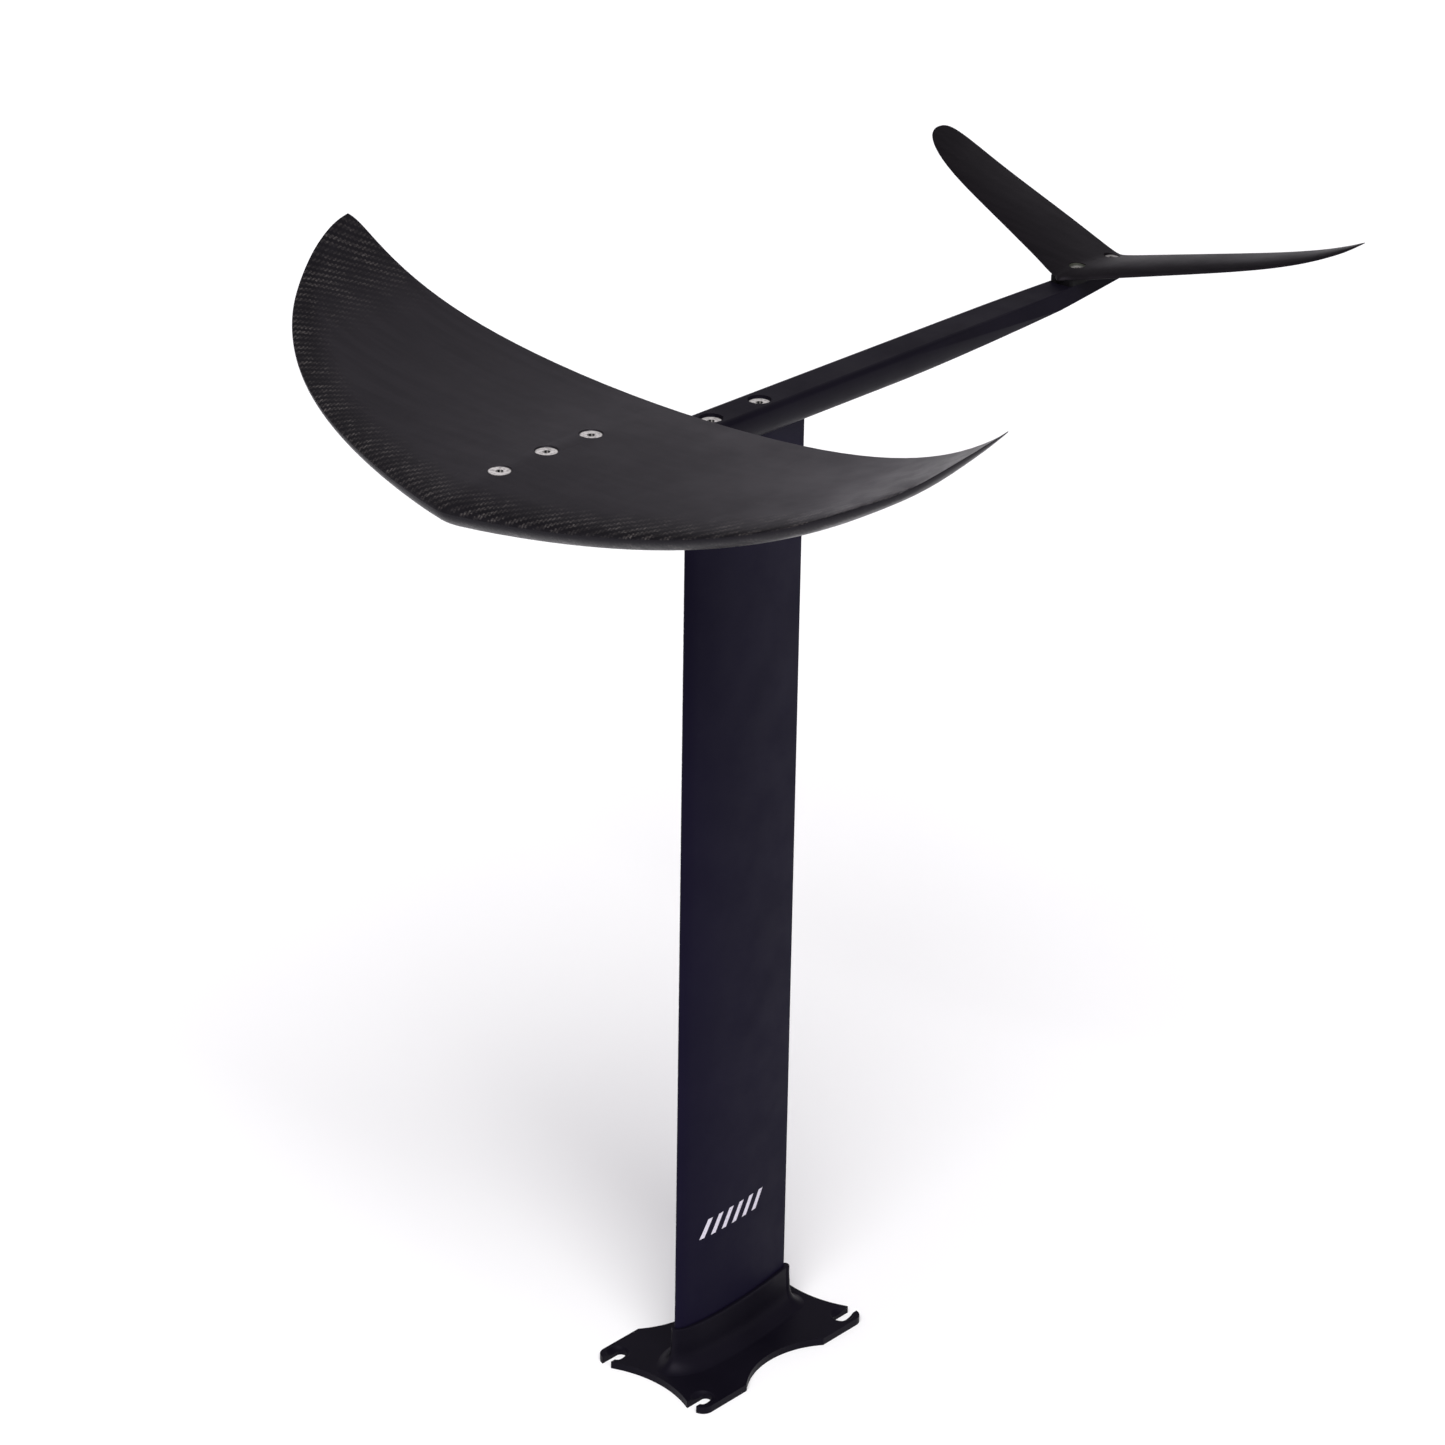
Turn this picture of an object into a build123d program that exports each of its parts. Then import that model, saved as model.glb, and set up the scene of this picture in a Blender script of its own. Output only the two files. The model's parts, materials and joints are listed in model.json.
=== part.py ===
"""Hydrofoil set: base plate, hollow mast, fuselage, front wing and stabiliser, with bolts and inserts.

Millimetres. The origin is the centre of the base plate's mounting face, +Z runs up the mast from that
face, -Y is the direction of travel (the front wing's side) and X is across the span. The set is
symmetric about X = 0.
"""

from build123d import *
import os
from math import atan, cos, exp, pi, radians, sin, sqrt

os.makedirs("parts", exist_ok=True)

# ---- driving dimensions --------------------------------------------------------------------------

# Base plate and the collar that stands on it.
plate_length = 188.0
plate_width = 115.0
plate_thickness = 6.0
waist_start = 45.0  # |Y| where the concave side begins
waist_half_width = 41.8  # half width at the narrowest place, Y = 0
end_bay_half_width = 40.0  # |X| where the concave end begins
end_bay_y = 85.0  # |Y| of the concave end at X = 0
ear_radius = 9.0
slot_x = 45.0
slot_width = 9.0
slot_inner_y = 73.5
dish_y = 81.5
dish_radius = 9.5
dish_depth = 3.5
collar_wall = 2.3
collar_height = 41.0
collar_flare = 15.0
collar_lean = 0.06  # outward lean of the collar's wall, per mm of height
collar_rear_y = 66.2
socket_floor = 9.0
fit_gap = 0.15  # clearance between a socket and what stands in it
past = 2.0  # how far a cutter reaches past what it cuts

# Mast: an extruded foil section with three hollow bays and two bolt channels.
mast_chord = 125.7
mast_thickness = 15.2
mast_leading_y = -64.7
mast_wall = 2.2
mast_top = 766.0
bolt_y = (-39.3, 12.1)
bay_front = 0.08  # the hollow bays' ends, along the chord
bay_rear = 0.8
web_length = 16.5
insert_diameter = 10.0
foot_insert_length = 25.0
head_insert_length = 30.0

# Fuselage: a round bar with a flat milled on top.
bar_radius = 17.0
bar_axis_z = 779.1
bar_top_z = 788.0
bar_edge_radius = 5.0
bar_front_y = -277.0
bar_rear_y = 430.0
nose_start_y = -217.0
nose_rise = 24.0
taper_start_y = 115.0
taper_rear_z = 781.7
tail_radius = 8.0
tail_half_width = 9.8
facet_angle = 24.0  # the tail's side facets lean this far from vertical
facet_start_y = 133.0

# Front wing. Places along the span are fractions u of the half span.
wing_half_span = 311.7
wing_chord = 223.0
wing_taper = 0.305  # share of the chord lost with u
wing_fullness = 0.338  # share regained with u squared
wing_tip_power = 0.571  # how bluntly the chord closes at the tip
wing_rear_y = -83.7  # trailing edge at the middle
wing_rear_sweep = 6.6
wing_tip_round = 5.0  # how far the trailing edge curls forward at the very tip
wing_tip_round_power = 60
wing_rear_z = 807.1
wing_rise = 40.7
wing_tip_rise = 31.0  # further rise, mostly near the tip
wing_tip_rise_power = 5.5
wing_droop = 12.8  # how much lower the leading edge is than the trailing edge
wing_droop_loss = 2.8
wing_thickness = 0.144  # greatest thickness over chord
wing_thickness_loss = 0.040
wing_lift = -0.317  # middle line's height over the chord line, in half thicknesses
wing_lift_loss = 0.525
wing_middle_blend = 0.016  # rounds off the crease at the middle
wing_skin = 1.6
wing_edge = 0.8
wing_block_half_width = 26.0
wing_bolt_y = (-251.2, -205.9, -162.1)
wing_recess_gap = 0.2
wing_block_front_y = -283.0
wing_block_rear_y = -135.0
wing_seat_rear_y = -150.0
wing_wedge_half_width = 15.0
wing_wedge_y = (-172.0, -112.0, -98.0)  # where the wedge starts, turns up and ends
wing_wedge_rear_z = 803.8
wing_wedge_front_height = 0.8

# Stabiliser, in the same terms as the wing.
stab_half_span = 205.6
stab_chord = 75.4
stab_taper = 0.416
stab_tip_power = 10.1
stab_tip_root = 2.7
stab_root_growth = 3.0  # extra chord where the two halves meet
stab_root_fade = 30
stab_middle_y = 393.1
stab_sweep = 75.1
stab_sweep_loss = 13.1
stab_rear_z = 792.6
stab_rise = 41.2
stab_tip_rise = 12.1
stab_middle_blend = 0.02
stab_droop = 1.8
stab_droop_loss = 0.6
stab_thickness = 0.094
stab_lift = 0.629
stab_skin = 0.8
stab_edge = 0.6
stab_bolt_y = (377.8, 421.0)
shim_half_width = 10.5
shim_front_y = 357.0
shim_rear_y = 428.0
shim_height = 5.0

# Fasteners: countersunk socket screws.
m8 = (8.0, 16.0, 5.0)  # diameters of the shank and the head, and width of the hex socket
m6 = (6.0, 11.5, 4.0)
bore_gap = 0.2
head_gap = 0.75
head_rim = 0.4  # short straight rim above a head's cone
head_opening = 6.0  # how far a hole stays open above its screw's head
tip_chamfer = 1.0
thread_gap = 0.05
insert_chamfer = 0.4
head_recess = 0.4  # depth of a plate screw's head below the mounting face
plate_screw_length = 32.0
mast_head_z = 785.6
mast_screw_length = 45.0
wing_insert_length = 16.0
wing_head_z = (808.1, 809.3, 809.3)
wing_screw_length = 36.0
stab_insert_length = 6.0
stab_insert_diameter = 8.0
stab_head_z = (795.9, 794.2)
stab_screw_length = 12.0

# Hand-picked mast section: place along the chord, and half thickness over the greatest half thickness.
mast_section = (
    (0.02, 0.36),
    (0.08, 0.68),
    (0.2, 0.93),
    (0.4, 1.0),
    (0.6, 0.86),
    (0.8, 0.54),
    (0.95, 0.2),
    (1.0, 0.08),
)


def finish(piece, name):
    """Label a finished piece and write its STEP file."""
    piece.label = name
    export_step(piece, f"parts/{name}.step")


def nose_spline(points, nose):
    """Draw one smooth spline round a foil's nose, as two edges that meet at the nose point."""
    whole = Spline(*points, mode=Mode.PRIVATE)
    add(whole.trim(points[0], points[nose]))
    add(whole.trim(points[nose], points[-1]))


def screw_hole(place, length, screw, pointing_up=False):
    """What a countersunk screw's hole cuts out. The head is centred on place and seats on the cone."""
    toward = 1 if pointing_up else -1
    diameter, head, _ = screw
    sink = head / 2 + head_gap
    bore = diameter / 2 + bore_gap
    with BuildPart() as hole:
        with BuildSketch(Plane(origin=place, x_dir=(1, 0, 0), z_dir=(0, -1, 0))):
            with BuildLine():
                Polyline(
                    (0, -toward * head_opening),
                    (sink, -toward * head_opening),
                    (sink, toward * (head_rim - head_gap)),
                    (bore, toward * (head_rim + head / 2 - bore)),
                    (bore, toward * length),
                    (0, toward * length),
                    close=True,
                )
            make_face()
        revolve(axis=Axis(place, (0, 0, 1)))
    return hole.part


# ---- mast ----------------------------------------------------------------------------------------


def mast_outline(grow, rear_end=None):
    """The mast's section as a closed line, grown outward, its rear rounded out to rear_end if given."""
    right = []
    for place, ratio in mast_section:
        half = ratio * mast_thickness / 2 + grow
        y = mast_leading_y + place * mast_chord
        right.append((half, y + (grow if place == 1.0 and rear_end is None else 0.0)))
    left = [(-x, y) for x, y in reversed(right)]
    nose_spline([*left, (0, mast_leading_y - grow), *right], len(left))
    if rear_end is None:
        Line(right[-1], left[0])
    else:
        ThreePointArc(right[-1], (0, rear_end), left[0])


with BuildPart() as mast:
    with BuildSketch(Plane.XY.offset(socket_floor)):
        with BuildLine():
            mast_outline(0)
        make_face()
    extrude(amount=mast_top - socket_floor)
    # Three hollow bays, with a web round each bolt channel between them.
    with BuildSketch(Plane.XY.offset(socket_floor)):
        with BuildLine():
            bay_side = [
                (ratio * mast_thickness / 2 - mast_wall, mast_leading_y + place * mast_chord)
                for place, ratio in mast_section
                if bay_front <= place <= bay_rear
            ]
            far_side = [(-x, y) for x, y in bay_side]
            Spline(*bay_side)
            Line(bay_side[-1], far_side[-1])
            Spline(*far_side)
            Line(far_side[0], bay_side[0])
        make_face()
        with Locations(*[(0, y) for y in bolt_y]):
            Rectangle(mast_thickness, web_length, mode=Mode.SUBTRACT)
    extrude(amount=mast_top - socket_floor, mode=Mode.SUBTRACT)
    with BuildSketch(Plane.XY.offset(socket_floor)):
        with Locations(*[(0, y) for y in bolt_y]):
            Circle(insert_diameter / 2)
    extrude(amount=mast_top - socket_floor, mode=Mode.SUBTRACT)
finish(mast.part, "mast")


# ---- base plate with its collar ------------------------------------------------------------------

half_width = plate_width / 2
half_length = plate_length / 2


def plate_quarter():
    """One quarter of the plate's outline, from the middle of its side to the middle of its end."""
    side_apex = (waist_half_width, 0)
    side_end = (half_width, waist_start)
    corner = (half_width, half_length)
    end_start = (end_bay_half_width, half_length)
    end_apex = (0, end_bay_y)
    JernArc(start=side_apex, tangent=(0, 1), radius=side_radius, arc_size=-side_turn)
    Line(side_end, corner)
    Line(corner, end_start)
    JernArc(start=end_apex, tangent=(1, 0), radius=end_radius, arc_size=end_turn)
    Line(end_apex, (0, 0))
    Line((0, 0), side_apex)


# Each concave edge is an arc that is square to the plate's own centre line at its apex.
side_depth = half_width - waist_half_width
side_radius = (waist_start**2 + side_depth**2) / (2 * side_depth)
side_turn = 2 * atan(side_depth / waist_start) * 180 / pi
end_depth = half_length - end_bay_y
end_radius = (end_bay_half_width**2 + end_depth**2) / (2 * end_depth)
end_turn = 2 * atan(end_depth / end_bay_half_width) * 180 / pi


def collar_growth(level):
    """How much larger the collar is at this height than at its rim."""
    lean = collar_lean * (collar_height - level)
    above_foot = level - flare_foot
    if above_foot >= collar_flare:
        return lean
    return lean + collar_flare - sqrt(collar_flare**2 - (collar_flare - above_foot) ** 2)


# Sections are closest together where the flare turns fastest.
flare_foot = plate_thickness - 0.6
flare_levels = [flare_foot + collar_flare * (1 - cos(radians(turn))) for turn in (0, 15, 30, 50, 70, 90)]
collar_levels = flare_levels + [flare_levels[-1] + step for step in (5, 12)] + [collar_height]

with BuildPart() as base_plate:
    with BuildSketch():
        with BuildLine():
            plate_quarter()
        make_face()
        outer_corner = vertices().sort_by(lambda v: v.X + v.Y)[-1]
        fillet(outer_corner, ear_radius)
        mirror(about=Plane.XZ)
        mirror(about=Plane.YZ)
    extrude(amount=plate_thickness)
    # The collar leans out a little towards its foot, and flares into the plate.
    for level in collar_levels:
        with BuildSketch(Plane.XY.offset(level)):
            with BuildLine():
                grown = collar_growth(level)
                mast_outline(collar_wall + grown, collar_rear_y + grown)
            make_face()
    loft()
    # The socket that the mast stands in.
    with BuildSketch(Plane.XY.offset(socket_floor)):
        with BuildLine():
            mast_outline(fit_gap)
        make_face()
    extrude(amount=collar_height, mode=Mode.SUBTRACT)
    # Open-ended slots, and the round dish that each bolt head sits in.
    with BuildSketch():
        for sx in (-1, 1):
            for sy in (-1, 1):
                with Locations((sx * slot_x, sy * (slot_inner_y + slot_width / 2))):
                    Circle(slot_width / 2)
                with Locations((sx * slot_x, sy * (slot_inner_y + slot_width / 2 + plate_width / 4))):
                    Rectangle(slot_width, plate_width / 2)
    extrude(amount=plate_thickness, mode=Mode.SUBTRACT)
    dish_sphere = (dish_radius**2 + dish_depth**2) / (2 * dish_depth)
    dish_z = plate_thickness - dish_depth + dish_sphere
    with Locations(*[(sx * slot_x, sy * dish_y, dish_z) for sx in (-1, 1) for sy in (-1, 1)]):
        Sphere(dish_sphere, mode=Mode.SUBTRACT)
    # Countersunk holes from the mounting face for the two screws into the mast's foot.
    for y in bolt_y:
        plate_hole = screw_hole((0, y, head_recess), 2 * socket_floor, m8, pointing_up=True)
        add(plate_hole, mode=Mode.SUBTRACT)
finish(base_plate.part, "base_plate")


# ---- fuselage ------------------------------------------------------------------------------------

facet = radians(facet_angle)
facet_plane = Plane(origin=(0, 0, bar_axis_z), x_dir=(0, 1, 0), z_dir=(sin(facet), 0, -cos(facet)))
facet_depths = ((facet_start_y, 0.0), (300.0, 2.0), (435.0, 6.6))
facet_reach = bar_radius + 8
bar_low_z = bar_axis_z - bar_radius

with BuildPart() as fuselage:
    with BuildSketch(Plane.XZ.offset(-bar_rear_y)):
        with Locations((0, bar_axis_z)):
            Circle(bar_radius)
        with Locations((0, bar_top_z + bar_radius)):
            Rectangle(2 * bar_radius, 2 * bar_radius, mode=Mode.SUBTRACT)
        flat_ends = vertices().sort_by(Axis.Y)[-2:]
        fillet(flat_ends, bar_edge_radius)
    extrude(amount=bar_rear_y - bar_front_y)
    # Nose: the underside sweeps up to a thin tip, and the sides draw in with it.
    with BuildSketch(Plane.YZ):
        with BuildLine():
            EllipticalCenterArc(
                center=(nose_start_y, bar_low_z + nose_rise),
                x_radius=nose_start_y - bar_front_y,
                y_radius=nose_rise,
                start_angle=180,
                arc_size=90,
            )
            Polyline(
                (nose_start_y, bar_low_z),
                (nose_start_y, bar_low_z - past),
                (bar_front_y - past, bar_low_z - past),
                (bar_front_y - past, bar_low_z + nose_rise),
                (bar_front_y, bar_low_z + nose_rise),
            )
        make_face()
    extrude(amount=bar_radius + past, both=True, mode=Mode.SUBTRACT)
    # Tail: the underside tapers up in a straight line.
    with BuildSketch(Plane.YZ):
        with BuildLine():
            Polyline(
                (taper_start_y, bar_low_z),
                (bar_rear_y + past, taper_rear_z),
                (bar_rear_y + past, bar_low_z - past),
                (taper_start_y, bar_low_z - past),
                close=True,
            )
        make_face()
    extrude(amount=bar_radius + past, both=True, mode=Mode.SUBTRACT)
    # Tail: a leaning facet on each side, which cuts deeper towards the rear.
    with BuildSketch(facet_plane):
        with BuildLine():
            facet_points = [(y, bar_radius - depth) for y, depth in facet_depths]
            ThreePointArc(*facet_points)
            Polyline(
                facet_points[-1],
                (facet_points[-1][0], facet_reach),
                (facet_start_y, facet_reach),
                facet_points[0],
            )
        make_face()
    facet_cut = extrude(amount=2 * bar_radius, both=True, mode=Mode.SUBTRACT)
    mirror(facet_cut, about=Plane.YZ, mode=Mode.SUBTRACT)
    # Tail: rounded corners in plan.
    with BuildSketch(Plane.XY.offset(bar_low_z)):
        with Locations((0, bar_rear_y - tail_radius + bar_radius)):
            Rectangle(2 * bar_radius, 2 * bar_radius)
        with Locations((0, bar_rear_y - 2 * bar_radius)):
            RectangleRounded(2 * tail_half_width, 4 * bar_radius, tail_radius, mode=Mode.SUBTRACT)
    extrude(amount=2 * bar_radius, mode=Mode.SUBTRACT)
    # The pocket that the mast's head stands in.
    with BuildSketch(Plane.XY.offset(bar_low_z - past)):
        with BuildLine():
            mast_outline(fit_gap)
        make_face()
    extrude(amount=mast_top - (bar_low_z - past), mode=Mode.SUBTRACT)
    # Sunk holes for the two mast screws.
    for y in bolt_y:
        add(screw_hole((0, y, mast_head_z), 2 * bar_radius, m8), mode=Mode.SUBTRACT)
    # Blind holes for the wing's and the stabiliser's threaded inserts.
    with Locations(*[(0, y, bar_top_z) for y in wing_bolt_y]):
        Hole(insert_diameter / 2, depth=wing_insert_length)
    with Locations(*[(0, y, bar_top_z) for y in stab_bolt_y]):
        Hole(stab_insert_diameter / 2, depth=stab_insert_length)
finish(fuselage.part, "fuselage")


# ---- threaded inserts and screws -----------------------------------------------------------------


def threaded_insert(name, y, top, length, diameter, screw):
    """A threaded insert, with a plain bore in place of its thread, whose upper face is at this height."""
    with BuildPart() as insert:
        with BuildSketch(Plane.XY.offset(top)):
            with Locations((0, y)):
                Circle(diameter / 2)
                Circle(screw[0] / 2 + thread_gap, mode=Mode.SUBTRACT)
        extrude(amount=-length)
        rims = insert.edges().filter_by(GeomType.CIRCLE).group_by(SortBy.RADIUS)[-1]
        chamfer(rims, insert_chamfer)
    finish(insert.part, name)


def countersunk_screw(name, place, length, screw, pointing_up=False):
    """A countersunk socket screw. Its head's flat face is centred on place and it points down, or up."""
    toward = 1 if pointing_up else -1
    diameter, head, socket = screw
    head_height = (head - diameter) / 2
    with BuildPart() as made:
        with BuildSketch(Plane(origin=place, x_dir=(1, 0, 0), z_dir=(0, -1, 0))):
            with BuildLine():
                Polyline(
                    (0, 0),
                    (head / 2, 0),
                    (head / 2, toward * head_rim),
                    (diameter / 2, toward * (head_height + head_rim)),
                    (diameter / 2, toward * (length - tip_chamfer)),
                    (diameter / 2 - tip_chamfer, toward * length),
                    (0, toward * length),
                    close=True,
                )
            make_face()
        revolve(axis=Axis(place, (0, 0, 1)))
        with BuildSketch(Plane(origin=place, z_dir=(0, 0, toward))):
            RegularPolygon(socket / 2, 6, major_radius=False)
        extrude(amount=head_height, mode=Mode.SUBTRACT)
    finish(made.part, name)


ends = ("front", "rear")
foot_insert_top = socket_floor + foot_insert_length
for end, y in zip(ends, bolt_y):
    threaded_insert(f"mast_foot_insert_{end}", y, foot_insert_top, foot_insert_length, insert_diameter, m8)
    threaded_insert(f"mast_head_insert_{end}", y, mast_top, head_insert_length, insert_diameter, m8)
    countersunk_screw(f"plate_screw_{end}", (0, y, head_recess), plate_screw_length, m8, pointing_up=True)
    countersunk_screw(f"mast_screw_{end}", (0, y, mast_head_z), mast_screw_length, m8)

for end, y, head_z in zip(("front", "middle", "rear"), wing_bolt_y, wing_head_z):
    threaded_insert(f"fuselage_wing_insert_{end}", y, bar_top_z, wing_insert_length, insert_diameter, m8)
    countersunk_screw(f"wing_screw_{end}", (0, y, head_z), wing_screw_length, m8)

for end, y, head_z in zip(ends, stab_bolt_y, stab_head_z):
    threaded_insert(f"stabiliser_insert_{end}", y, bar_top_z, stab_insert_length, stab_insert_diameter, m6)
    countersunk_screw(f"stabiliser_screw_{end}", (0, y, head_z), stab_screw_length, m6)


# ---- foil surfaces -------------------------------------------------------------------------------


def foil_thickness(s):
    """Half thickness at fraction s of the chord, per unit of chord and of thickness ratio."""
    return 5 * (0.2969 * sqrt(s) - 0.1260 * s - 0.3516 * s**2 + 0.2843 * s**3 - 0.1036 * s**4)


class Section:
    """One section of a foil: where its chord line is, and how its two surfaces stand off that line."""

    def __init__(self, chord, rear_y, rear_z, droop, thickness, lift, edge):
        self.chord = chord
        self.rear_y = rear_y
        self.rear_z = rear_z
        self.droop = droop  # how much lower the leading edge is than the trailing edge
        self.thickness = thickness  # greatest thickness over chord
        self.lift = lift  # middle line's height over the chord line, in half thicknesses
        self.edge = edge  # thickness of the trailing edge

    def chord_point(self, s):
        return self.rear_y - self.chord * (1 - s), self.rear_z - self.droop * (1 - s)

    def surface_point(self, s, side, skin=0.0):
        """A point of the upper (side 1) or lower (side -1) surface, set in by the skin."""
        y, z = self.chord_point(s)
        half = self.thickness * self.chord * foil_thickness(s)
        return y, z + self.lift * half + side * (half + self.edge / 2 * s - skin)

    def parting_point(self, s):
        """A point of the line inside the foil where the upper and lower skins meet, from edge to edge."""
        y, z = self.chord_point(s)
        greatest = self.thickness * self.chord / 2
        return y, z + greatest * 4 * self.lift * s * (1 - s)


def droop_fade(chord, root_chord):
    """The leading edge's droop fades out over the narrow end of a foil."""
    return min(3 * chord / root_chord, 1)


def wing_section(u):
    """The front wing's section at fraction u of its half span."""
    from_middle = sqrt(u**2 + wing_middle_blend**2) - wing_middle_blend
    plan = 1 - wing_taper * from_middle + wing_fullness * u**2
    chord = wing_chord * (1 - u**2) ** wing_tip_power * plan
    return Section(
        chord=chord,
        rear_y=wing_rear_y - wing_rear_sweep * u**2 - wing_tip_round * u**wing_tip_round_power,
        rear_z=wing_rear_z + wing_rise * u**2 + wing_tip_rise * u**wing_tip_rise_power,
        droop=(wing_droop - wing_droop_loss * u) * droop_fade(chord, wing_chord),
        thickness=wing_thickness - wing_thickness_loss * u,
        lift=wing_lift - wing_lift_loss * u,
        edge=wing_edge,
    )


def stab_section(u):
    """The stabiliser's section at fraction u of its half span."""
    tip_closing = (1 - u**stab_tip_power) ** (1 / stab_tip_root)
    chord = stab_chord * (1 - stab_taper * u) * tip_closing + stab_root_growth * exp(-stab_root_fade * u)
    middle_y = stab_middle_y + stab_sweep * u - stab_sweep_loss * u**2
    return Section(
        chord=chord,
        rear_y=middle_y + chord / 2,
        rear_z=stab_rear_z + stab_rise * sqrt(u**2 + stab_middle_blend**2) + stab_tip_rise * u**6,
        droop=(stab_droop - stab_droop_loss * u) * droop_fade(chord, stab_chord),
        thickness=stab_thickness,
        lift=stab_lift,
        edge=stab_edge,
    )


def cosine_steps(first, last, count):
    """Fractions of the chord from first to last, closest together at both ends."""
    return [first + (last - first) * (1 - cos(pi * i / count)) / 2 for i in range(count + 1)]


def both_sides(stations):
    """The stations from one tip to the other, as fractions of the half span."""
    return [-u for u in reversed(stations) if u > 0] + list(stations)


def foil_loft(section, half_span, stations, side=0):
    """The foil's outer shape from tip to tip, whole, or only its upper (side 1) or lower (side -1) half."""
    with BuildPart() as foil:
        for u in both_sides(stations):
            here = section(abs(u))
            over = [here.surface_point(s, 1) for s in cosine_steps(0, 1, 12)]
            under = [here.surface_point(s, -1) for s in cosine_steps(0, 1, 12)]
            parting = [here.parting_point(s) for s in (1, 0.75, 0.5, 0.25, 0)]
            with BuildSketch(Plane.YZ.offset(u * half_span)):
                with BuildLine():
                    whole = Spline(*reversed(over), *under[1:], mode=Mode.PRIVATE)
                    if side >= 0:
                        add(whole.trim(over[-1], over[0]))
                    if side <= 0:
                        add(whole.trim(over[0], under[-1]))
                    if side == 0:
                        Line(under[-1], over[-1])
                    else:
                        Line(over[-1] if side > 0 else under[-1], parting[0])
                        Spline(*parting)
                make_face()
        loft()
    return foil.part


def core_loft(section, half_span, stations, skin, first, last, ruled=False):
    """The core: the outer shape set in by the skin, between two fractions of the chord."""
    with BuildPart() as core:
        for u in both_sides(stations):
            here = section(abs(u))
            over = [here.surface_point(s, 1, skin) for s in cosine_steps(first, last, 6)]
            under = [here.surface_point(s, -1, skin) for s in cosine_steps(first, last, 6)]
            with BuildSketch(Plane.YZ.offset(u * half_span)):
                with BuildLine():
                    Spline(*over)
                    Line(over[-1], under[-1])
                    Spline(*reversed(under))
                    Line(under[0], over[0])
                make_face()
        loft(ruled=ruled)
    return core.part


# ---- front wing ----------------------------------------------------------------------------------

wing_stations = (0, 0.03, 0.07, 0.15, 0.26, 0.38, 0.5, 0.61, 0.71, 0.8, 0.87, 0.925, 0.96, 0.983, 0.995, 0.9995)
wing_core_stations = (0, 0.07, 0.15, 0.26, 0.38, 0.5, 0.61, 0.71, 0.8, 0.88)

wing_upper = foil_loft(wing_section, wing_half_span, wing_stations, side=1)
wing_lower = foil_loft(wing_section, wing_half_span, wing_stations, side=-1)
wing_inside = core_loft(wing_section, wing_half_span, wing_core_stations, wing_skin, 0.05, 0.8)

with BuildPart() as wing_block_space:
    with BuildSketch(Plane.XY.offset(bar_low_z)):
        with Locations((0, (wing_block_front_y + wing_block_rear_y) / 2)):
            Rectangle(2 * wing_block_half_width, wing_block_rear_y - wing_block_front_y)
    extrude(amount=60)

# What is cut out of the finished wing: the seat on the fuselage, and the screw holes.
with BuildPart() as wing_cuts:
    with BuildSketch(Plane.XY.offset(bar_low_z)):
        with Locations((0, (bar_front_y + wing_seat_rear_y) / 2 - wing_recess_gap)):
            Rectangle(2 * (bar_radius + wing_recess_gap), wing_seat_rear_y - bar_front_y)
    extrude(amount=bar_top_z - bar_low_z)
    for y, head_z in zip(wing_bolt_y, wing_head_z):
        add(screw_hole((0, y, head_z), wing_screw_length, m8))

with BuildPart() as wing_upper_skin:
    add(wing_upper)
    add(wing_inside, mode=Mode.SUBTRACT)
    add(wing_cuts.part, mode=Mode.SUBTRACT)
finish(wing_upper_skin.part, "wing_upper_skin")

with BuildPart() as wing_lower_skin:
    add(wing_lower)
    # A wedge under the belly carries the seat on the fuselage back past the rear screw.
    with BuildSketch(Plane.YZ):
        start, turn, end = wing_wedge_y
        Polygon(
            (start, bar_top_z),
            (turn, bar_top_z),
            (end, wing_wedge_rear_z),
            (start, bar_top_z + wing_wedge_front_height),
            align=None,
        )
    extrude(amount=wing_wedge_half_width, both=True)
    add(wing_inside, mode=Mode.SUBTRACT)
    add(wing_cuts.part, mode=Mode.SUBTRACT)
finish(wing_lower_skin.part, "wing_lower_skin")

with BuildPart() as wing_root_block:
    add(wing_inside)
    add(wing_block_space.part, mode=Mode.INTERSECT)
    add(wing_cuts.part, mode=Mode.SUBTRACT)
finish(wing_root_block.part, "wing_root_block")

with BuildPart() as wing_core:
    add(wing_inside)
    add(wing_block_space.part, mode=Mode.SUBTRACT)
    add(wing_cuts.part, mode=Mode.SUBTRACT)
finish(wing_core.part, "wing_core")


# ---- stabiliser ----------------------------------------------------------------------------------

stab_stations = (0, 0.02, 0.06, 0.14, 0.28, 0.42, 0.56, 0.7, 0.81, 0.89, 0.94, 0.97, 0.988, 0.996, 0.9995)
stab_core_stations = (0, 0.03, 0.06, 0.1, 0.14, 0.21, 0.28, 0.35, 0.42, 0.49, 0.56)

stab_blank = foil_loft(stab_section, stab_half_span, stab_stations)
stab_upper = foil_loft(stab_section, stab_half_span, stab_stations, side=1)
stab_lower = foil_loft(stab_section, stab_half_span, stab_stations, side=-1)
stab_inside = core_loft(stab_section, stab_half_span, stab_core_stations, stab_skin, 0.15, 0.65, ruled=True)

with BuildPart() as stab_cuts:
    for y, head_z in zip(stab_bolt_y, stab_head_z):
        add(screw_hole((0, y, head_z), stab_screw_length, m6))

with BuildPart() as stabiliser_upper_shell:
    add(stab_upper)
    add(stab_inside, mode=Mode.SUBTRACT)
    add(stab_cuts.part, mode=Mode.SUBTRACT)
finish(stabiliser_upper_shell.part, "stabiliser_upper_shell")

with BuildPart() as stabiliser_lower_shell:
    add(stab_lower)
    add(stab_inside, mode=Mode.SUBTRACT)
    add(stab_cuts.part, mode=Mode.SUBTRACT)
finish(stabiliser_lower_shell.part, "stabiliser_lower_shell")

with BuildPart() as stabiliser_core:
    add(stab_inside)
    add(stab_cuts.part, mode=Mode.SUBTRACT)
finish(stabiliser_core.part, "stabiliser_core")

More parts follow.
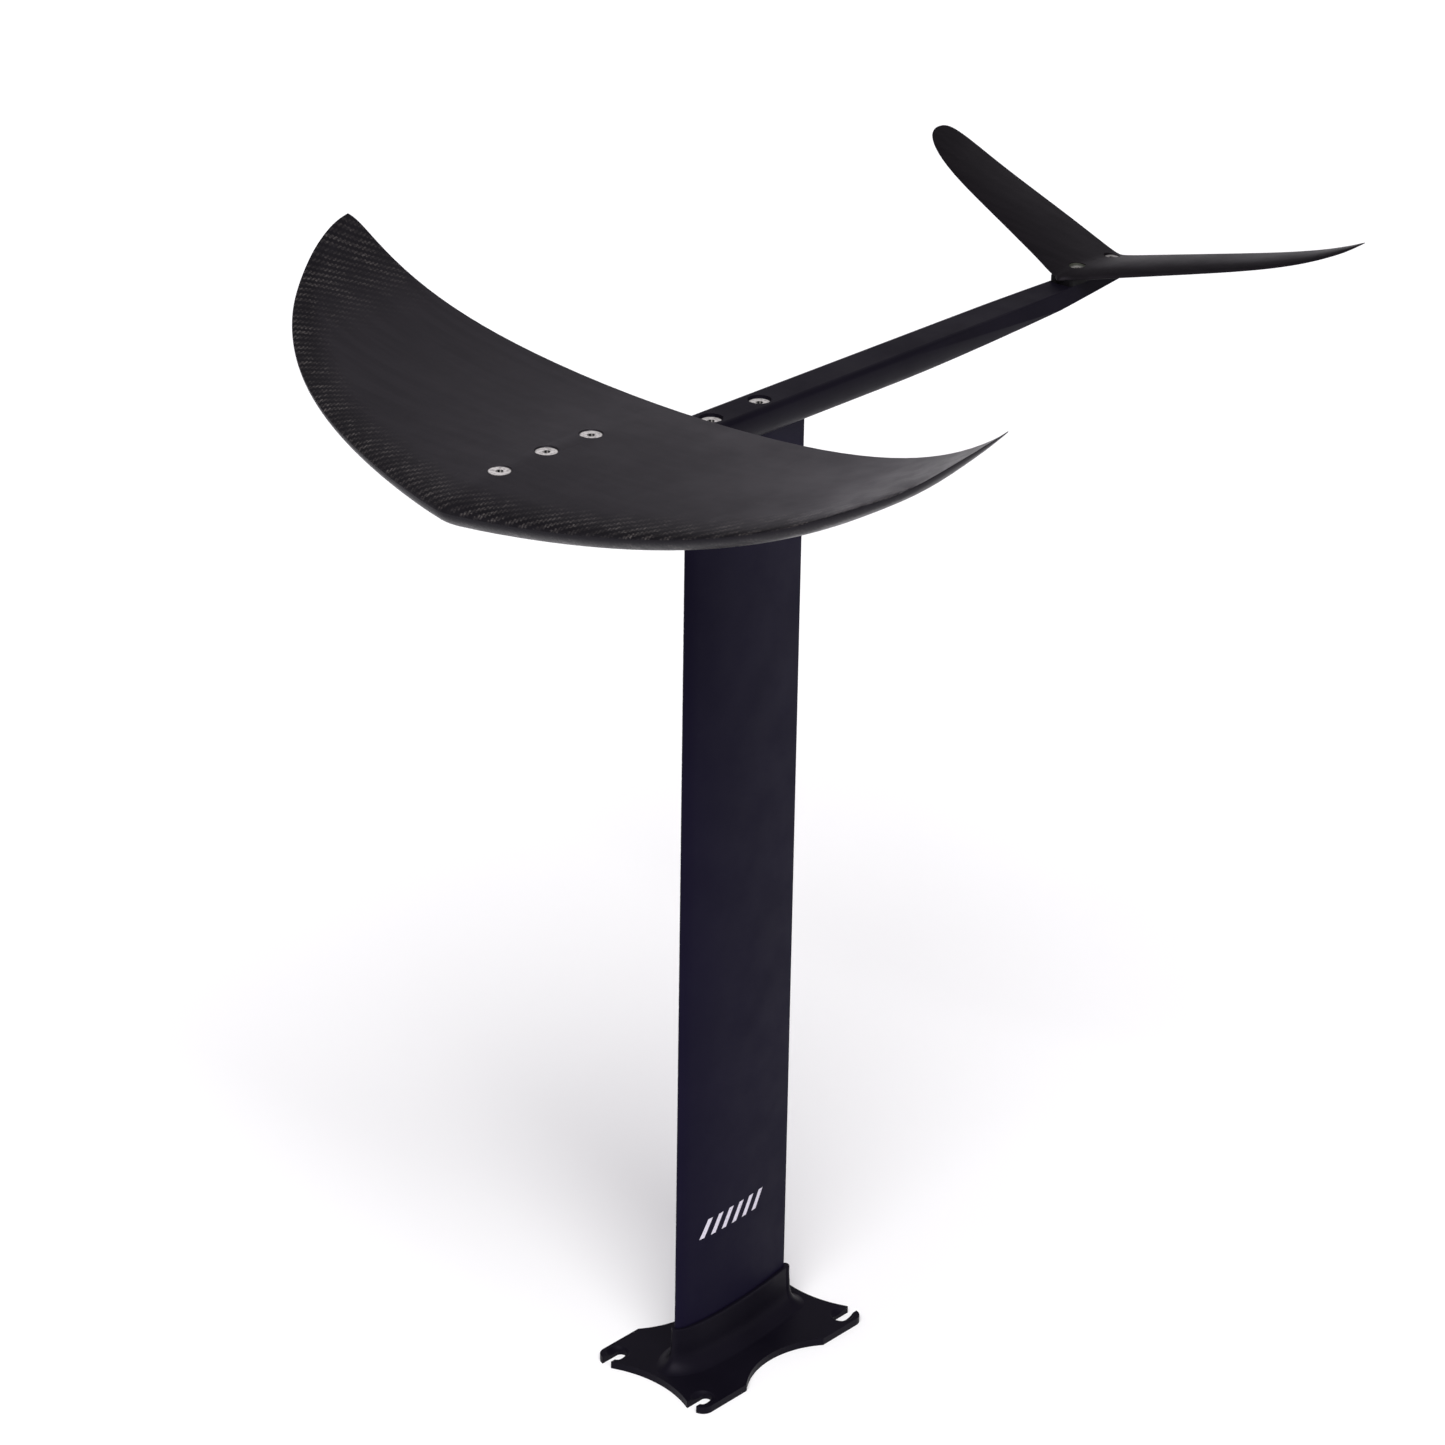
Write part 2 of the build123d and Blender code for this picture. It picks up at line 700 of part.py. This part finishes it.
with BuildPart() as stabiliser_shim:
    with BuildSketch(Plane.XY.offset(bar_top_z)):
        with Locations((0, (shim_front_y + shim_rear_y) / 2)):
            RectangleRounded(2 * shim_half_width, shim_rear_y - shim_front_y, 3)
    extrude(amount=shim_height)
    add(stab_blank, mode=Mode.SUBTRACT)
    add(stab_cuts.part, mode=Mode.SUBTRACT)
finish(stabiliser_shim.part, "stabiliser_shim")
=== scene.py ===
"""Studio view of the hydrofoil set: materials, floor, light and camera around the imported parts. Metres."""

import json
import math

import bmesh
import bpy
from mathutils import Matrix, Vector

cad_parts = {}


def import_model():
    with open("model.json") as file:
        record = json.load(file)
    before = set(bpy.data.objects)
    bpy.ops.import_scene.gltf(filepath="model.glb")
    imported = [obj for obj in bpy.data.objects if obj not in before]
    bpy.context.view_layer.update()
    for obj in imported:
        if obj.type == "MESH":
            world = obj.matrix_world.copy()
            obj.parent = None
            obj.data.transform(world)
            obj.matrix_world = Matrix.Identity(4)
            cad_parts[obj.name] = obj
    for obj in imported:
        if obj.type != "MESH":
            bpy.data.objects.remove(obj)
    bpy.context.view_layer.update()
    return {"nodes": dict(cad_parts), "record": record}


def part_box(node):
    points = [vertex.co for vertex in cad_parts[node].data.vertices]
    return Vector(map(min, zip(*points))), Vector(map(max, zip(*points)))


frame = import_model()
nodes = frame["nodes"]

# The front wing's plan outline, as in the CAD. Its chord at the fraction u of the half span is
# WING_CHORD (1 - u^2)^WING_TIP_POWER (1 - WING_TAPER u + WING_FULLNESS u^2).
WING_CHORD = 0.223
WING_TIP_POWER = 0.571
WING_TAPER = 0.305
WING_FULLNESS = 0.338
WING_REAR_Y = -0.0837

# The mark on the mast's +X side.
MARK_MIDDLE = (-0.005, 0.122)  # Y and Z
MARK_HEIGHT = 0.015
MARK_SLANT = 0.6  # how far a bar leans towards +Y, per length up
MARK_BARS = 6
MARK_BAR_WIDTH = 0.005
MARK_PITCH = 0.012
MARK_PAINT = (0.62, 0.59, 0.67)

TOW_WIDTH = 0.0021
LILAC = (0.90, 0.84, 1.0)  # tint of the black surfaces' reflections
FLOOR_HALF_WIDTH = 30.0
SUN_PLACE = (1.35, -1.65, 2.7)
CAMERA_PLACE = (2.0259, -2.2763, 1.9579)
CAMERA_AZIMUTH = 41.942  # degrees from the front towards +X
CAMERA_ELEVATION = 25.01
CAMERA_ROLL = 0.959
CAMERA_LENS = 113.58  # mm, on a sensor 36 mm wide


# ---- material helpers --------------------------------------------------------------------------


class Shader:
    """A material's node tree, with short calls for the nodes that the materials below use."""

    def __init__(self, name, color, roughness, metallic=0.0, specular=0.5):
        self.material = bpy.data.materials.new(name)
        self.material.use_nodes = True
        self.tree = self.material.node_tree
        self.bsdf = self.tree.nodes["Principled BSDF"]
        self.set("Base Color", (*color, 1.0))
        self.set("Roughness", roughness)
        self.set("Metallic", metallic)
        self.set("Specular IOR Level", specular)
        self.position = self.node("ShaderNodeTexCoord").outputs["Object"]

    def set(self, socket, value):
        self.bsdf.inputs[socket].default_value = value

    def node(self, kind, **settings):
        made = self.tree.nodes.new(kind)
        for key, value in settings.items():
            setattr(made, key, value)
        return made

    def link(self, output, target):
        self.tree.links.new(output, target)

    def feed(self, output, socket):
        self.link(output, self.bsdf.inputs[socket])

    def put(self, value, target):
        """Link the value to the target socket if it is a socket, and set it there if not."""
        if isinstance(value, bpy.types.NodeSocket):
            self.link(value, target)
        else:
            target.default_value = value

    def math(self, operation, a, b=0.0, c=0.0, clamp=False):
        made = self.node("ShaderNodeMath", operation=operation, use_clamp=clamp)
        for value, target in zip((a, b, c), made.inputs):
            self.put(value, target)
        return made.outputs[0]

    def axes(self):
        """The object's X, Y and Z at the point, in metres."""
        made = self.node("ShaderNodeSeparateXYZ")
        self.link(self.position, made.inputs[0])
        return made.outputs

    def level(self):
        """1 on faces that lie nearly flat, fading to 0 on steep ones."""
        made = self.node("ShaderNodeSeparateXYZ")
        self.link(self.node("ShaderNodeTexCoord").outputs["Normal"], made.inputs[0])
        return self.ramp(self.math("ABSOLUTE", made.outputs["Z"]), 0.35, 0.8)

    def scaled(self, scale):
        """The point's place, scaled to the units of a pattern."""
        made = self.node("ShaderNodeMapping")
        made.inputs["Scale"].default_value = scale
        self.link(self.position, made.inputs["Vector"])
        return made.outputs[0]

    def noise(self, scale, detail=3.0, vector=None):
        made = self.node("ShaderNodeTexNoise")
        made.inputs["Scale"].default_value = scale
        made.inputs["Detail"].default_value = detail
        made.inputs["Roughness"].default_value = 0.55
        self.link(vector if vector is not None else self.position, made.inputs["Vector"])
        return made.outputs["Fac"]

    def ramp(self, value, low, high, to_low=0.0, to_high=1.0):
        """A smooth step from to_low to to_high, as the value goes from low to high."""
        made = self.node("ShaderNodeMapRange", interpolation_type="SMOOTHSTEP")
        for value_in, target in zip((value, low, high, to_low, to_high), made.inputs):
            self.put(value_in, target)
        return made.outputs[0]

    def blend(self, factor, a, b):
        """A colour between a and b."""
        made = self.node("ShaderNodeMix", data_type="RGBA")
        self.put(factor, made.inputs[0])
        for value, target in ((a, made.inputs[6]), (b, made.inputs[7])):
            self.put((*value, 1.0) if isinstance(value, tuple) else value, target)
        return made.outputs[2]

    def bump(self, height, distance, strength, normal=None):
        made = self.node("ShaderNodeBump")
        made.inputs["Strength"].default_value = strength
        made.inputs["Distance"].default_value = distance
        self.link(height, made.inputs["Height"])
        if normal is not None:
            self.link(normal, made.inputs["Normal"])
        return made.outputs[0]


def twill(shader):
    """Two-by-two twill, laid along and across the span.

    Gives which of the two tows is on top, and how high the surface stands between 0 and 1.
    """
    x, y, _ = shader.axes()
    warp = shader.math("DIVIDE", x, TOW_WIDTH)
    weft = shader.math("DIVIDE", y, TOW_WIDTH)
    step = shader.math("SUBTRACT", shader.math("FLOOR", warp), shader.math("FLOOR", weft))
    phase = shader.math("FLOORED_MODULO", step, 4.0)
    on_top = shader.math("LESS_THAN", phase, 1.5)
    crowns = []
    for place in (warp, weft):
        off_middle = shader.math("MULTIPLY_ADD", shader.math("FRACT", place), 2.0, -1.0)
        crowns.append(shader.math("SUBTRACT", 1.0, shader.math("MULTIPLY", off_middle, off_middle)))
    height = shader.math(
        "ADD",
        shader.math("MULTIPLY", crowns[0], on_top),
        shader.math("MULTIPLY", crowns[1], shader.math("SUBTRACT", 1.0, on_top)),
    )
    return on_top, height


# ---- materials ---------------------------------------------------------------------------------


def anodised(name, color, cloud_color, roughness, specular):
    """Black anodised aluminium: a bead-blasted grain, faint cloudiness and a slight tint."""
    shader = Shader(name, color, roughness, specular=specular)
    shader.set("Specular Tint", (*LILAC, 1.0))
    cloud = shader.noise(14.0, detail=4.0)
    shader.feed(shader.blend(shader.ramp(cloud, 0.3, 0.7), color, cloud_color), "Base Color")
    grain = shader.noise(2600.0, detail=2.0)
    smudge = shader.ramp(shader.noise(30.0, detail=5.0), 0.25, 0.75, roughness - 0.05, roughness + 0.06)
    shader.feed(shader.math("MULTIPLY_ADD", grain, 0.05, smudge), "Roughness")
    shader.feed(shader.bump(grain, 0.00002, 0.35), "Normal")
    return shader


def slanted_bars(shader):
    """A plain mark of parallel slanted bars on the +X side, over what already feeds the base colour."""
    x, y, z = shader.axes()
    half_length = MARK_PITCH * MARK_BARS / 2
    up = shader.math("SUBTRACT", z, MARK_MIDDLE[1])
    along = shader.math("SUBTRACT", shader.math("MULTIPLY_ADD", up, -MARK_SLANT, y), MARK_MIDDLE[0])
    in_pitch = shader.math("FLOORED_MODULO", shader.math("ADD", along, half_length), MARK_PITCH)
    inside = shader.math("LESS_THAN", in_pitch, MARK_BAR_WIDTH)
    for value, limit in ((along, half_length), (up, MARK_HEIGHT / 2)):
        within = shader.math("LESS_THAN", shader.math("ABSOLUTE", value), limit)
        inside = shader.math("MULTIPLY", inside, within)
    inside = shader.math("MULTIPLY", inside, shader.math("GREATER_THAN", x, 0.0))
    wear = shader.ramp(shader.noise(900.0), 0.30, 0.36)
    under = shader.bsdf.inputs["Base Color"].links[0].from_socket
    painted = shader.math("MULTIPLY", inside, wear)
    shader.feed(shader.blend(painted, under, MARK_PAINT), "Base Color")


def steel(name, dark, light, metallic, roughness, socket_shade_color=None):
    """Turned steel: fine grain with small bright and dull patches.

    With a socket shade colour, a screw's head gets painted shade in its hex socket and round its rim.
    """
    shader = Shader(name, light, roughness, metallic=metallic)
    fine = shader.noise(1800.0)
    patch = shader.noise(400.0, detail=2.0)
    color = shader.blend(shader.ramp(patch, 0.3, 0.6), dark, light)
    if socket_shade_color:
        in_box = shader.node("ShaderNodeTexCoord").outputs["Generated"]
        parts = shader.node("ShaderNodeSeparateXYZ")
        shader.link(in_box, parts.inputs[0])
        off = [shader.math("SUBTRACT", parts.outputs[i], 0.5) for i in range(2)]
        squares = [shader.math("MULTIPLY", part, part) for part in off]
        radius = shader.math("SQRT", shader.math("ADD", *squares))  # of the head's width
        # Painted shade: the hex socket's hollow and a ring at the head's rim are darkened in the base
        # colour.
        socket_shade = shader.ramp(radius, 0.155, 0.185, 1.0, 0.0)
        rim_shade = shader.ramp(radius, 0.455, 0.49, 0.0, 0.7)
        color = shader.blend(socket_shade, color, socket_shade_color)
        color = shader.blend(rim_shade, color, socket_shade_color)
    shader.feed(color, "Base Color")
    shader.feed(shader.ramp(fine, 0.3, 0.7, roughness - 0.08, roughness + 0.1), "Roughness")
    shader.feed(shader.bump(fine, 0.00003, 0.3), "Normal")
    return shader


def moulded(name, color, light_color, roughness, grain_scale, grain_height, specular=0.5):
    """A moulded or cast material: two close colours and a fine grain."""
    shader = Shader(name, color, roughness, specular=specular)
    grain = shader.noise(grain_scale)
    shader.feed(shader.blend(grain, color, light_color), "Base Color")
    shader.feed(shader.bump(grain, grain_height, 0.4), "Normal")
    return shader


def carbon(name, color, glint_color, roughness, specular, edge_fade):
    """Satin carbon: sanded smooth over the middle, with the twill showing near the edges. Painted shade dims
    the base colour near the edges, and painted glints mark the tows on top.
    """
    shader = Shader(name, color, roughness, specular=specular)
    shader.set("Specular Tint", (*LILAC, 1.0))
    on_top, height = twill(shader)
    near_edge = edge_fade(shader)
    patchy = shader.ramp(shader.noise(70.0, detail=4.0), 0.38, 0.62, 0.25, 1.0)
    show = shader.math("MULTIPLY", shader.math("MULTIPLY", near_edge, patchy), shader.level())
    sparse = shader.ramp(shader.noise(520.0, detail=2.0), 0.45, 0.65, 0.25, 1.0)
    seen = shader.math("MULTIPLY", show, sparse)
    # Painted highlight: glints on the tows lying on top, mixed into the base colour near the edges.
    glint = shader.math("MULTIPLY", shader.math("MULTIPLY", on_top, height), seen)
    streak = shader.noise(1.0, detail=5.0, vector=shader.scaled((14.0, 160.0, 14.0)))
    lighter = tuple(1.3 * part for part in color)
    edge_shade_color = tuple(0.15 * part for part in color)
    base = shader.blend(shader.ramp(streak, 0.35, 0.65), color, lighter)
    # Painted shade: where the edge mask is high, the base colour dims towards 0.15 of itself.
    base = shader.blend(near_edge, base, edge_shade_color)
    shader.feed(shader.blend(glint, base, glint_color), "Base Color")
    rough = shader.ramp(shader.noise(24.0, detail=5.0), 0.25, 0.75, roughness - 0.04, roughness + 0.05)
    shader.feed(shader.math("MULTIPLY_ADD", show, -0.08, rough), "Roughness")
    sanded = shader.bump(shader.noise(2200.0, detail=2.0), 0.00002, 0.3)
    shader.feed(shader.bump(shader.math("MULTIPLY", height, show), 0.00006, 0.6, normal=sanded), "Normal")
    return shader


def wing_edge_fade(shader):
    """1 near the front wing's leading edge and tips, fading to 0 over its middle: where the twill, its
    painted glints and the painted shade show.
    """
    x, y, _ = shader.axes()
    _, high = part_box("wing_upper_skin")
    u = shader.math("DIVIDE", shader.math("ABSOLUTE", x), high.x)
    u2 = shader.math("MULTIPLY", u, u, clamp=True)
    round_off = shader.math("POWER", shader.math("SUBTRACT", 1.0, u2, clamp=True), WING_TIP_POWER)
    tapered = shader.math("MULTIPLY_ADD", u, -WING_TAPER, 1.0)
    plan = shader.math("MULTIPLY_ADD", u2, WING_FULLNESS, tapered)
    chord = shader.math("MULTIPLY", shader.math("MULTIPLY", round_off, plan), WING_CHORD)
    behind_nose = shader.math("ADD", shader.math("SUBTRACT", y, WING_REAR_Y), chord)
    wander = shader.math("MULTIPLY_ADD", shader.noise(9.0, detail=2.0), 0.016, -0.008)
    from_nose = shader.math("ADD", behind_nose, wander)
    nose_band = shader.ramp(from_nose, 0.006, 0.036, 1.0, 0.0)
    tip_band = shader.ramp(u, 0.68, 0.92, 0.0, 0.8)
    return shader.math("MAXIMUM", nose_band, tip_band)


def stab_edge_fade(shader):
    """The stabiliser's twill, its painted glints and a slight painted shade show faintly, a little more
    towards the tips.
    """
    x, _, _ = shader.axes()
    return shader.ramp(shader.math("ABSOLUTE", x), 0.05, 0.2, 0.03, 0.15)


finishes = {
    "black_anodised": anodised(
        "black_anodised", (0.0040, 0.0034, 0.0064), (0.0054, 0.0046, 0.0084), 0.40, 0.06
    ),
    "mast_anodised": anodised(
        "mast_anodised", (0.0048, 0.0038, 0.0130), (0.0060, 0.0048, 0.0150), 0.48, 0.05
    ),
    "stainless": steel(
        "stainless_steel", (0.46, 0.44, 0.43), (0.84, 0.81, 0.79), 0.45, 0.34, (0.02, 0.02, 0.02)
    ),
    "insert_steel": steel("insert_steel", (0.36, 0.35, 0.33), (0.50, 0.49, 0.46), 1.0, 0.42),
    "shim_plastic": moulded(
        "shim_plastic", (0.0030, 0.0028, 0.0034), (0.0046, 0.0044, 0.0052), 0.55, 1200.0, 0.00003, 0.06
    ),
    "block_laminate": moulded(
        "block_laminate", (0.030, 0.032, 0.026), (0.050, 0.054, 0.040), 0.6, 700.0, 0.00004
    ),
    "core_foam": moulded("core_foam", (0.70, 0.62, 0.46), (0.86, 0.80, 0.64), 0.85, 900.0, 0.0001),
    "wing_carbon": carbon(
        "wing_carbon", (0.0094, 0.0085, 0.0098), (0.070, 0.063, 0.060), 0.42, 0.27, wing_edge_fade
    ),
    "stabiliser_carbon": carbon(
        "stabiliser_carbon", (0.0058, 0.0050, 0.0060), (0.022, 0.020, 0.019), 0.46, 0.06, stab_edge_fade
    ),
}
slanted_bars(finishes["mast_anodised"])

# The stabiliser's screws are sunk deep; this dimmer copy of the steel is painted shade from their recesses.
recess_shaded_steel = steel(
    "recess_shaded_steel", (0.12, 0.116, 0.112), (0.55, 0.53, 0.51), 0.7, 0.30, (0.01, 0.01, 0.01)
)

slots = {part["node"]: part["material_slot"] for part in frame["record"]["subparts"]}
for name, node in nodes.items():
    finish = recess_shaded_steel if name.startswith("stabiliser_screw") else finishes[slots[name]]
    node.data.materials.clear()
    node.data.materials.append(finish.material)


# ---- floor, light and camera -------------------------------------------------------------------


def floor():
    mesh = bpy.data.meshes.new("floor")
    work = bmesh.new()
    bmesh.ops.create_grid(work, x_segments=1, y_segments=1, size=FLOOR_HALF_WIDTH)
    work.to_mesh(mesh)
    work.free()
    ground = bpy.data.objects.new("floor", mesh)
    bpy.context.scene.collection.objects.link(ground)
    shader = Shader("floor_pale", (0.98, 0.98, 0.98), 0.9, specular=0.1)
    mesh.materials.append(shader.material)


def overhead(strength, spread):
    """A very wide, even light from above on the camera's side, which makes the floor pale."""
    data = bpy.data.lights.new("overhead", "SUN")
    data.energy = strength
    data.angle = math.radians(spread)
    lamp = bpy.data.objects.new("overhead", data)
    lamp.location = SUN_PLACE
    lamp.rotation_euler = (-Vector(SUN_PLACE)).to_track_quat("-Z", "Y").to_euler()
    bpy.context.scene.collection.objects.link(lamp)


def world(color, horizon, above, reach):
    """Soft light from all round, bright at the horizon and dimmer above this height of the direction."""
    made = bpy.data.worlds.new("studio")
    made.use_nodes = True
    nodes, links = made.node_tree.nodes, made.node_tree.links
    split = nodes.new("ShaderNodeSeparateXYZ")
    fall = nodes.new("ShaderNodeMapRange")
    fall.interpolation_type = "SMOOTHSTEP"
    for value, target in zip((0.0, reach, horizon, above), fall.inputs[1:5]):
        target.default_value = value
    links.new(nodes.new("ShaderNodeTexCoord").outputs["Generated"], split.inputs[0])
    links.new(split.outputs["Z"], fall.inputs["Value"])
    links.new(fall.outputs[0], nodes["Background"].inputs["Strength"])
    nodes["Background"].inputs["Color"].default_value = (*color, 1.0)
    bpy.context.scene.world = made


def camera():
    """A long lens from the front right, above the object, rolled by about a degree."""
    azimuth, elevation, roll = (
        math.radians(angle) for angle in (CAMERA_AZIMUTH, CAMERA_ELEVATION, CAMERA_ROLL)
    )
    right = Vector((math.cos(azimuth), math.sin(azimuth), 0.0))
    front = Vector((math.sin(azimuth), -math.cos(azimuth), 0.0))
    back = front * math.cos(elevation) + Vector((0.0, 0.0, math.sin(elevation)))
    up = back.cross(right)
    turn = Matrix((right, up, back)).transposed() @ Matrix.Rotation(roll, 3, "Z")
    data = bpy.data.cameras.new("camera")
    data.sensor_width = 36.0
    data.lens = CAMERA_LENS
    data.clip_end = 60.0
    eye = bpy.data.objects.new("camera", data)
    eye.matrix_world = Matrix.Translation(CAMERA_PLACE) @ turn.to_4x4()
    bpy.context.scene.collection.objects.link(eye)
    bpy.context.scene.camera = eye


bpy.context.scene.view_settings.view_transform = "Standard"  # keeps the near-black tones apart
floor()
world((0.97, 0.92, 1.0), 0.95, 0.30, 0.30)
overhead(3.3, 44)
camera()
